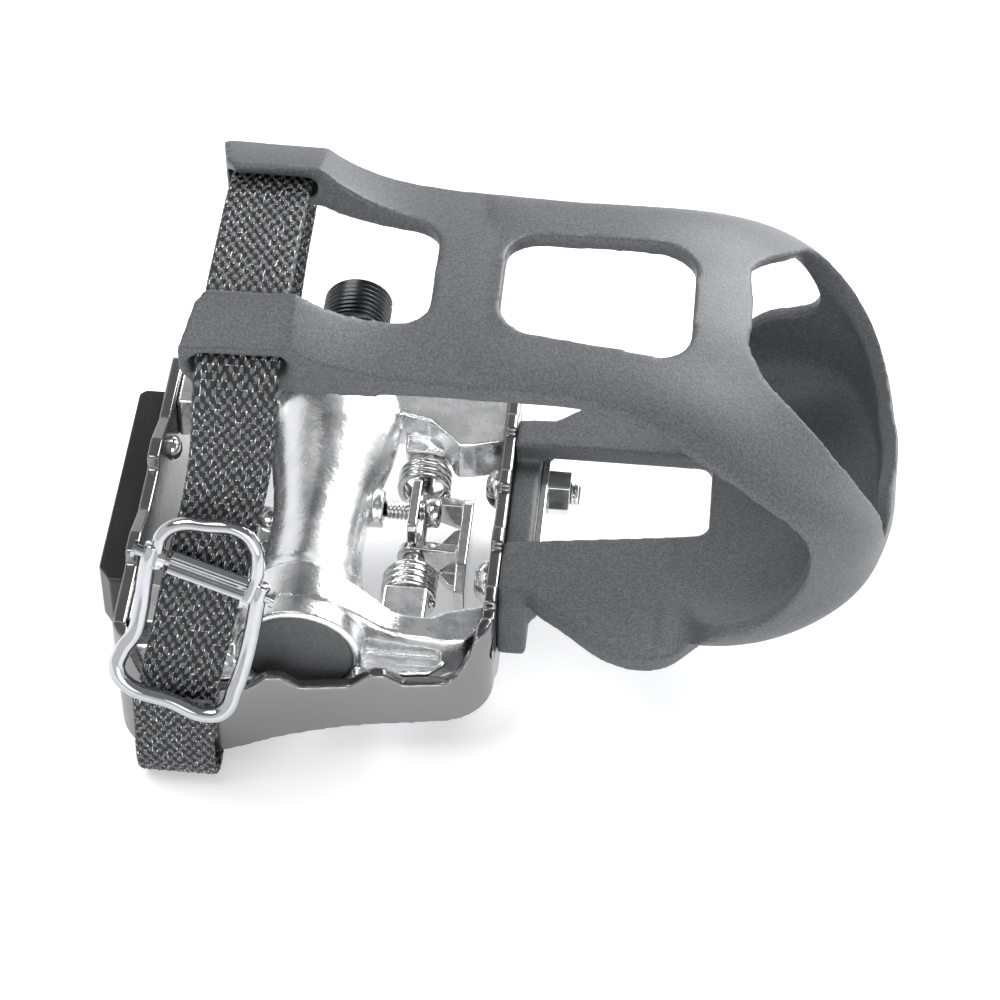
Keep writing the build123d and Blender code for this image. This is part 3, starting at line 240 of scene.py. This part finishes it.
materials = {
    "cast": castAluminium(),
    "black_steel": glossPaint(),
    "steel": metal("brightSteel", finishes["steel"]),
    "dark_steel": metal("darkSteel", finishes["darkSteel"]),
    "bearing_chrome": metal("ballChrome", finishes["chrome"]),
    "chrome": metal("chromePlate", finishes["chrome"], 300, 0.03, 0.9),
    "clip_plastic": clipPlastic(),
    "black_plastic": plastic("blackPlastic", finishes["blackPlastic"]),
    "reflector": plastic("amberLens", finishes["lens"], 600, 0.4),
    "seal_rubber": plastic("sealRubber", finishes["rubber"]),
    "webbing": nylonWebbing(),
    "cap": plastic("capPlastic", finishes["cap"], 2200, 0.3),
}
slotOf = {s["node"]: s["material_slot"] for s in frame["record"]["subparts"]}
for name, node in nodes.items():
    node.data.materials.clear()
    node.data.materials.append(materials[slotOf[name]])
print("finishes on", len(nodes), "CAD nodes")


def finishPiece(piece, material, body, slotName, *replaced):
    # gives a finished piece its material and body, and hides the CAD nodes it stands for
    piece.data.materials.clear()
    piece.data.materials.append(materials[material])
    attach(piece, body)
    if replaced:
        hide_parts(*replaced)


def takeActive(name):
    piece = bpy.context.object
    piece.name = name
    piece.data.name = name
    return piece


def editMesh(piece, work):
    bm = bmesh.new()
    bm.from_mesh(piece.data)
    work(bm)
    bm.to_mesh(piece.data)
    bm.free()
    piece.data.update()


def copyOfNode(nodeName, pieceName):
    # a merged copy of a CAD node, free to be shaped
    piece = bpy.data.objects.new(pieceName, nodes[nodeName].data.copy())
    piece.data.name = pieceName
    bpy.context.scene.collection.objects.link(piece)
    editMesh(piece, lambda bm: bmesh.ops.remove_doubles(bm, verts=bm.verts, dist=1e-6))
    return piece


def makeActive(piece):
    bpy.ops.object.select_all(action="DESELECT")
    piece.select_set(True)
    bpy.context.view_layer.objects.active = piece


def applyAll(piece):
    makeActive(piece)
    for modifier in list(piece.modifiers):
        bpy.ops.object.modifier_apply(modifier=modifier.name)


def softForm(nodeName, pieceName, look):
    # a cast or moulded form: a fine even mesh laid back on the CAD faces,
    # then its edges rounded by a light smoothing
    piece = copyOfNode(nodeName, pieceName)
    remesh = piece.modifiers.new("remesh", "REMESH")
    remesh.mode = "VOXEL"
    remesh.voxel_size = look["voxel"]
    even = piece.modifiers.new("even", "SMOOTH")
    even.factor = 0.5
    even.iterations = look["passes"]
    laid = piece.modifiers.new("laid", "SHRINKWRAP")
    laid.target = nodes[nodeName]
    laid.wrap_method = "NEAREST_SURFACEPOINT"
    soften = piece.modifiers.new("soften", "SMOOTH")
    soften.factor = 0.5
    soften.iterations = look["rounds"]
    applyAll(piece)
    bpy.ops.object.shade_smooth()
    return piece


def placeMesh(piece, matrix):
    piece.data.transform(matrix)
    piece.data.update()


def alongAxis(origin, axis, side):
    # matrix from a piece made on Z to the line through origin
    axis, side = Vector(axis).normalized(), Vector(side).normalized()
    third = axis.cross(side)
    return Matrix(((side.x, third.x, axis.x, origin[0]), (side.y, third.y, axis.y, origin[1]),
                   (side.z, third.z, axis.z, origin[2]), (0, 0, 0, 1)))


def screwProfile(name, points, closed, pitch, turns, steps):
    # a profile in X and Z, swept round Z as a screw
    bpy.ops.object.select_all(action="DESELECT")
    bpy.ops.mesh.primitive_circle_add(vertices=len(points), radius=mm, location=(0, 0, 0))
    piece = takeActive(name)
    for vertex, (r, z) in zip(piece.data.vertices, points):
        vertex.co = (r, 0, z)
    if not closed:
        editMesh(piece, lambda bm: bmesh.ops.delete(bm, geom=[e for e in bm.edges if {v.index for v in e.verts} ==
                                                              {0, len(points) - 1}], context="EDGES"))
    screw = piece.modifiers.new("screw", "SCREW")
    screw.axis = "Z"
    screw.screw_offset = pitch
    screw.iterations = turns
    screw.steps = steps
    screw.render_steps = steps
    screw.use_merge_vertices = True
    screw.merge_threshold = 1e-6
    applyAll(piece)

    def close(bm):
        bmesh.ops.remove_doubles(bm, verts=bm.verts, dist=1e-6)
        rim = [e for e in bm.edges if e.is_boundary]
        if closed:
            bmesh.ops.holes_fill(bm, edges=rim, sides=0)
        bmesh.ops.recalc_face_normals(bm, faces=bm.faces)
    editMesh(piece, close)
    bpy.ops.object.shade_smooth()
    return piece


def joinPieces(name, first, *others):
    bpy.ops.object.select_all(action="DESELECT")
    for piece in (first, *others):
        piece.select_set(True)
    bpy.context.view_layer.objects.active = first
    bpy.ops.object.join()
    return takeActive(name)


def threadRidge(name, look, matrix):
    p, root, crest = look["pitch"], look["root"], look["crest"]
    points = [(root, 0), (root, 0.12 * p), (crest, 0.45 * p), (crest, 0.58 * p), (root, 0.9 * p), (root, p)]
    ridge = screwProfile(name, points, False, p, look["turns"], look["steps"])
    placeMesh(ridge, matrix)
    return ridge


def threadedCopy(nodeName, pieceName, look, places):
    # the CAD piece with its plain shank turned down to the thread's root, and the thread wound on it
    shaft = copyOfNode(nodeName, pieceName)
    axis = Vector(look["axis"])
    for start in places:
        for vertex in shaft.data.vertices:
            along = (vertex.co - Vector(start)).dot(axis)
            foot = Vector(start) + axis * along
            out = vertex.co - foot
            if abs(out.length - look["crest"]) < 0.02 * mm and look["from"] <= along <= look["to"]:
                vertex.co = foot + out * (look["root"] / look["crest"])
    makeActive(shaft)
    bpy.ops.object.shade_smooth_by_angle(angle=math.radians(35))
    ridges = [threadRidge(pieceName + "Ridge", look, alongAxis(start, axis, look["side"])) for start in places]
    return joinPieces(pieceName, shaft, *ridges)


castBody = {"voxel": 0.5 * mm, "passes": 5, "rounds": 3}
piece = softForm("body", "castBody", castBody)
finishPiece(piece, "cast", "pedal", "cast", "body")
print("cast body rounded over:", len(piece.data.polygons), "faces")

toeClip = {"voxel": 0.6 * mm, "passes": 6, "rounds": 6}
piece = softForm("toe_clip", "toeClipMoulding", toeClip)
finishPiece(piece, "clip_plastic", "pedal", "clip_plastic", "toe_clip")
print("toe clip rounded over:", len(piece.data.polygons), "faces")

# Smaller pieces that only need their edges rounded
roundedPieces = {
    # CAD node: piece, voxel in mm, passes, body
    "cage": ("toothedCage", 0.45, 4, "pedal"),
    "binding_claw": ("sprungClaw", 0.22, 4, "claw"),
    "tension_plate": ("tensionPlate", 0.16, 3, "tension_slide"),
    "fixed_claw": ("fixedClaw", 0.2, 4, "pedal"),
    "clip_backing_plate": ("backingPlate", 0.26, 2, "pedal"),
    "clip_nuts": ("clipNuts", 0.2, 3, "pedal"),
    "reflector_housing": ("reflectorHousing", 0.36, 3, "pedal"),
    "dust_cap": ("dustCap", 0.24, 3, "pedal"),
}
for nodeName, (pieceName, voxel, passes, body) in roundedPieces.items():
    piece = softForm(nodeName, pieceName, {"voxel": voxel * mm, "passes": passes, "rounds": 3})
    finishPiece(piece, "cap" if nodeName == "dust_cap" else slotOf[nodeName], body, slotOf[nodeName], nodeName)
    print(pieceName, len(piece.data.polygons), "faces")

crankThread = {"crest": 7.14 * mm, "root": 6.42 * mm, "pitch": 1.27 * mm, "turns": 9, "steps": 48,
               "axis": (0, 1, 0), "side": (1, 0, 0), "from": -0.01 * mm, "to": 13 * mm}
piece = threadedCopy("spindle", "crankSpindle", crankThread, [(0, 0.5 * mm, 0)])
finishPiece(piece, "dark_steel", "axle", "dark_steel", "spindle")

screwThread = {"crest": 2.0 * mm, "root": 1.58 * mm, "pitch": 0.8 * mm, "turns": 10, "steps": 28,
               "axis": (1, 0, 0), "side": (0, 1, 0), "from": -4 * mm, "to": 9 * mm}
piece = threadedCopy("tension_screw", "tensionScrew", screwThread, [(12.2 * mm, -44 * mm, -1.3 * mm)])
finishPiece(piece, "steel", "tensioner", "dark_steel", "tension_screw")

boltThread = {"crest": 2.5 * mm, "root": 2.05 * mm, "pitch": 0.8 * mm, "turns": 7, "steps": 28,
              "axis": (1, 0, 0), "side": (0, 1, 0), "from": -12 * mm, "to": 8 * mm}
piece = threadedCopy("clip_bolts", "clipBolts", boltThread,
                     [(44 * mm, (-47 + s * 12.5) * mm, -3.2 * mm) for s in (1, -1)])
finishPiece(piece, "steel", "pedal", "steel", "clip_bolts")
print("threads wound")

springs = {"coil": 4.75 * mm, "wire": 0.8 * mm, "pitch": 1.6 * mm, "ends": ((-27.2, 4), (-54.7, 5)),
           "pinX": 18.5 * mm, "pinZ": -8 * mm, "steps": 40, "round": 12}
coils = []
for startY, turns in springs["ends"]:
    ring = [(springs["coil"] + springs["wire"] * math.cos(a), springs["wire"] * math.sin(a) + springs["wire"])
            for a in (2 * math.pi * k / springs["round"] for k in range(springs["round"]))]
    coil = screwProfile("coil", ring, True, springs["pitch"] * 0.99, turns - 1, springs["steps"])
    placeMesh(coil, alongAxis((springs["pinX"], startY * mm, springs["pinZ"]), (0, -1, 0), (1, 0, 0)))
    coils.append(coil)
piece = joinPieces("bindingSprings", *coils)
finishPiece(piece, "steel", "pedal", "steel", "binding_springs")
print("binding springs coiled")

# The buckle lies in its own plane, turned on the strap
buckle = {"origin": (-17.6, -91.9, 21.0), "turn": 17, "pivot": (8.0, 2.2), "lean": (0.879, 0.477),
          "frameBar": 1.55, "leverBar": 1.3,
          "rollerR": 2.2, "rollerLong": 14.6, "rollerSide": 0.9, "flutes": 22, "fluteDeep": 0.10}
leanY, leanZ = buckle["lean"]
outward = Vector((0, -leanY, leanZ)).normalized()
turn = math.radians(buckle["turn"])
across = Vector((math.cos(turn), -math.sin(turn) * leanZ, -math.sin(turn) * leanY))
across = (across - outward * across.dot(outward)).normalized()
upward = outward.cross(across)
lay = Matrix(((across.x, upward.x, outward.x, buckle["origin"][0] * mm),
              (across.y, upward.y, outward.y, buckle["origin"][1] * mm),
              (across.z, upward.z, outward.z, buckle["origin"][2] * mm),
              (0, 0, 0, 1)))


def bentBar(name, points, radius):
    # a round bar bent through points of the buckle's plane
    bar = bpy.data.curves.new(name, "CURVE")
    bar.dimensions = "3D"
    bar.bevel_depth = radius * mm
    bar.bevel_resolution = 5
    bar.resolution_u = 10
    bar.use_fill_caps = True
    run = bar.splines.new("BEZIER")
    run.bezier_points.add(len(points) - 1)
    for knot, point in zip(run.bezier_points, points):
        knot.co = [c * mm for c in point]
        knot.handle_left_type = knot.handle_right_type = "AUTO"
    piece = bpy.data.objects.new(name, bar)
    bpy.context.scene.collection.objects.link(piece)
    makeActive(piece)
    bpy.ops.object.convert(target="MESH")
    piece = takeActive(name)
    editMesh(piece, lambda bm: (bmesh.ops.remove_doubles(bm, verts=bm.verts, dist=1e-6),
                                bmesh.ops.recalc_face_normals(bm, faces=bm.faces)))
    bpy.ops.object.shade_smooth()
    return piece


frameRun = [(-10.3, 10.0, 2.2), (-10.3, 7.0, 2.0), (-9.7, 2.0, 1.0), (-8.7, -4.0, 0.4), (-8.4, -8.6, 0.1),
            (-9.5, -13.0, 0), (-9.3, -16.6, 0),
            (-6.8, -18.9, 0), (2.0, -19.1, 0), (9.4, -19.2, 0), (12.0, -17.2, 0), (12.5, -12.5, 0),
            (12.4, -6.0, 0.3), (11.7, 1.0, 1.0), (10.9, 7.0, 2.0), (10.9, 10.0, 2.2)]
piece = bentBar("buckleFrame", frameRun, buckle["frameBar"])
placeMesh(piece, lay)
finishPiece(piece, "chrome", "pedal", "chrome", "buckle_frame")

leverRun = [(-8.6, 6.0, 2.2), (-9.3, 9.5, 2.3), (-9.4, 12.6, 2.8), (-7.4, 15.6, 3.2), (-2.0, 17.6, 3.4),
            (3.4, 18.8, 3.4), (7.0, 17.0, 3.2), (8.8, 13.4, 2.8), (9.3, 9.5, 2.3), (8.9, 6.0, 2.2)]
piece = bentBar("buckleLever", leverRun, buckle["leverBar"])
placeMesh(piece, lay)
finishPiece(piece, "chrome", "lever", "chrome", "buckle_lever")

# The roller: a bar with flutes cut along it
bpy.ops.object.select_all(action="DESELECT")
bpy.ops.mesh.primitive_cylinder_add(vertices=buckle["flutes"] * 4, radius=buckle["rollerR"] * mm,
                                    depth=buckle["rollerLong"] * mm)
roller = takeActive("buckleRoller")
for vertex in roller.data.vertices:
    angle = math.atan2(vertex.co.y, vertex.co.x)
    groove = 0.5 + 0.5 * math.cos(angle * buckle["flutes"])
    reach = 1 - buckle["fluteDeep"] * (1 - groove)
    vertex.co.x *= reach
    vertex.co.y *= reach
bpy.ops.object.shade_smooth_by_angle(angle=math.radians(50))
centre = lay @ Vector((buckle["rollerSide"] * mm, buckle["pivot"][0] * mm, buckle["pivot"][1] * mm))
placeMesh(roller, alongAxis(centre, across, outward))
finishPiece(roller, "chrome", "roller", "chrome", "buckle_roller")
print("buckle bent and fluted")

# The strap: flat nylon webbing along the CAD strap's own middle line, its cells raised as a weave.
# The cells' size is the one that the webbing's finish uses.
strap = {"wide": 15.0 * mm, "thick": 1.2 * mm, "raise": 0.26 * mm, "edge": 0.9 * mm, "edgeThin": 0.35,
         "edgeWave": 0.12 * mm, "waveWithin": 0.4, "acrossSteps": 48, "alongStep": 0.40 * mm}
cellWide, cellLong = finishes["webbing"]["cellWide"] * mm, finishes["webbing"]["cellLong"] * mm
strapLine = [
    (-21.4, -98.8, 2.4), (-21.6, -98.9, -6.0), (-21.9, -98.9, -13.5), (-22.0, -97.9, -19.4), (-22.0, -95.0, -22.9),
    (-22.0, -91.4, -23.3), (-22.0, -86.0, -21.6), (-22.0, -70.0, -15.2), (-22.0, -50.0, -12.2), (-22.0, -28.0, -11.0),
    (-22.0, -16.5, -9.8),
    (-21.0, -11.4, -4.0), (-18.0, -10.6, 10.0), (-14.0, -11.6, 35.0), (-10.6, -14.4, 56.0), (-9.6, -16.6, 65.0),
    (-9.4, -20.0, 68.0), (-9.4, -25.6, 70.0), (-9.4, -33.0, 71.6), (-9.4, -47.0, 72.0), (-9.4, -61.0, 71.6),
    (-9.4, -68.4, 70.0), (-9.4, -74.0, 68.0), (-9.5, -77.6, 64.6), (-10.0, -79.0, 57.0), (-11.2, -80.6, 46.0),
    (-13.2, -83.4, 36.0), (-15.4, -87.4, 27.3), (-18.0, -92.6, 15.0), (-20.2, -96.2, 5.0),
    (-21.2, -96.9, -3.0), (-21.6, -96.5, -11.5),
]


def smoothLine(points, step):
    # a cubic through all the points, then even stations along it
    knots = np.array(points) * mm
    t = np.concatenate(([0], np.cumsum(np.linalg.norm(np.diff(knots, axis=0), axis=1))))
    n, gaps = len(t), np.diff(t)
    system, right = np.eye(n), np.zeros((n, 3))
    for k in range(1, n - 1):
        system[k, k - 1:k + 2] = gaps[k - 1], 2 * (gaps[k - 1] + gaps[k]), gaps[k]
        right[k] = 6 * ((knots[k + 1] - knots[k]) / gaps[k] - (knots[k] - knots[k - 1]) / gaps[k - 1])
    bend = np.linalg.solve(system, right)
    places = np.linspace(0, t[-1], int(t[-1] / step) + 1)
    k = np.clip(np.searchsorted(t, places) - 1, 0, n - 2)
    a = ((t[k + 1] - places) / gaps[k])[:, None]
    b = 1 - a
    h2 = (gaps[k] ** 2)[:, None]
    return a * knots[k] + b * knots[k + 1] + ((a ** 3 - a) * bend[k] + (b ** 3 - b) * bend[k + 1]) * h2 / 6


stations = smoothLine(strapLine, strap["alongStep"])
runs = np.gradient(stations, axis=0)
lengths = np.concatenate(([0], np.cumsum(np.linalg.norm(np.diff(stations, axis=0), axis=1))))
mesh = bpy.data.meshes.new("webbingStrap")
bm = bmesh.new()
weaveMap = bm.loops.layers.uv.new("weave")
half, steps = strap["wide"] / 2, strap["acrossSteps"]
ring = [(-half + strap["wide"] * k / steps, 1) for k in range(steps + 1)] + \
       [(half - strap["wide"] * k / steps, -1) for k in range(steps + 1)]
rows = []
for place, run, s in zip(stations, runs, lengths):
    along = Vector((0, run[1], run[2])).normalized()
    normal = along.cross(Vector((1, 0, 0)))
    row = []
    for u, side in ring:
        shift = 0 if side > 0 else 0.5
        pick = math.cos(2 * math.pi * s / cellLong)
        weave = math.cos(2 * math.pi * (u / cellWide + shift)) * pick
        edge = min(1.0, (half - abs(u)) / strap["edge"])
        rim = strap["edgeThin"] + (1 - strap["edgeThin"]) * math.sqrt(max(0.0, edge * (2 - edge)))
        lift = side * (strap["thick"] / 2 * rim + strap["raise"] * weave * rim)
        width = math.copysign(strap["edgeWave"] * pick, u) if edge < strap["waveWithin"] else 0
        row.append(bm.verts.new(Vector(place) + Vector((u + width, 0, 0)) + normal * lift))
    rows.append(row)
count = len(ring)
for k in range(len(rows) - 1):
    for j in range(count):
        i = (j + 1) % count
        face = bm.faces.new((rows[k][j], rows[k][i], rows[k + 1][i], rows[k + 1][j]))
        for loop, (c, r) in zip(face.loops, ((j, k), (i, k), (i, k + 1), (j, k + 1))):
            loop[weaveMap].uv = (ring[c][0] / mm, lengths[r] / mm)
bm.faces.new(rows[0])
bm.faces.new(list(reversed(rows[-1])))
bmesh.ops.recalc_face_normals(bm, faces=bm.faces)
bm.to_mesh(mesh)
bm.free()
piece = bpy.data.objects.new("webbingStrap", mesh)
bpy.context.scene.collection.objects.link(piece)
makeActive(piece)
bpy.ops.object.shade_smooth()
finishPiece(piece, "webbing", "pedal", "webbing", "strap")
print("strap laid:", round(lengths[-1] / mm), "mm long,", len(mesh.polygons), "faces")

camera = {"place": (69.7, -465.2, 467.1), "azimuth": 4.71, "elevation": 47.62, "roll": 0.78, "focal": 3181.0}
az, el, roll = (math.radians(camera[k]) for k in ("azimuth", "elevation", "roll"))
forward = Vector((-math.sin(az) * math.cos(el), math.cos(az) * math.cos(el), -math.sin(el)))
right = forward.cross(Vector((0, 0, 1))).normalized()
up = right.cross(forward)
right, up = right * math.cos(roll) + up * math.sin(roll), up * math.cos(roll) - right * math.sin(roll)
lens = bpy.data.cameras.new("photoCamera")
lens.sensor_width = 36.0
lens.lens = 36.0 * camera["focal"] / 1000
eye = bpy.data.objects.new("photoCamera", lens)
bpy.context.scene.collection.objects.link(eye)
eye.matrix_world = Matrix(((right.x, up.x, -forward.x, camera["place"][0] * mm),
                           (right.y, up.y, -forward.y, camera["place"][1] * mm),
                           (right.z, up.z, -forward.z, camera["place"][2] * mm), (0, 0, 0, 1)))
bpy.context.scene.camera = eye

floorZ = cadBox[0][2]
bpy.ops.object.select_all(action="DESELECT")
bpy.ops.mesh.primitive_plane_add(size=6, location=(0.03, -0.05, floorZ - 0.0002))
floor = bpy.context.object
floor.name = "floor"
studio = {"floorGlow": 0.22, "wall": 1.0, "ceiling": 0.30}
floorMaterial, tree, shader, coords = newMaterial("paleFloor")
shader.inputs["Base Color"].default_value = (0.96, 0.96, 0.97, 1)
shader.inputs["Roughness"].default_value = 0.7
shader.inputs["Emission Color"].default_value = (1, 1, 1, 1)
seen = tree.nodes.new("ShaderNodeLightPath")
mirrored = mathNode(tree, "MAXIMUM", seen.outputs["Is Glossy Ray"], seen.outputs["Is Transmission Ray"])
glow = spread(tree, mathNode(tree, "MAXIMUM", seen.outputs["Is Camera Ray"], mirrored), 0.0, studio["floorGlow"])
tree.links.new(glow.outputs["Result"], shader.inputs["Emission Strength"])
floor.data.materials.append(floorMaterial)

world = bpy.data.worlds.new("studio")
bpy.context.scene.world = world
world.use_nodes = True
worldTree = world.node_tree
background = worldTree.nodes["Background"]
way = worldTree.nodes.new("ShaderNodeTexCoord")
height = worldTree.nodes.new("ShaderNodeSeparateXYZ")
worldTree.links.new(way.outputs["Generated"], height.inputs["Vector"])
sky = worldTree.nodes.new("ShaderNodeValToRGB")
stops = sky.color_ramp.elements
stops[0].position, stops[1].position = 0.0, 1.0
stops[0].color = (studio["wall"],) * 3 + (1,)
stops[1].color = (studio["ceiling"],) * 3 + (1,)
for position, value in ((0.42, studio["wall"]), (0.62, studio["ceiling"])):
    stops.new(position).color = (value, value, value, 1)
worldTree.links.new(height.outputs["Z"], sky.inputs["Fac"])
worldTree.links.new(sky.outputs["Color"], background.inputs["Color"])
background.inputs["Strength"].default_value = 1.0

lamps = {
    # name: place, target, size, watts
    "keySoft": ((-0.35, -0.15, 0.80), (0.02, -0.05, 0.02), 0.50, 4.0),
    "fillFront": ((0.30, -0.80, 0.35), (0.03, -0.05, 0.0), 0.60, 3.0),
    "rimBack": ((0.45, 0.50, 0.45), (0.04, -0.05, 0.02), 0.45, 9.0),
}
for name, (place, target, size, watts) in lamps.items():
    data = bpy.data.lights.new(name, "AREA")
    data.shape = "SQUARE"
    data.size = size
    data.energy = watts
    lamp = bpy.data.objects.new(name, data)
    bpy.context.scene.collection.objects.link(lamp)
    lamp.location = place
    lamp.rotation_euler = (Vector(target) - Vector(place)).to_track_quat("-Z", "Y").to_euler()
print("camera, floor and lamps")

bpy.context.scene.view_settings.view_transform = "Standard"
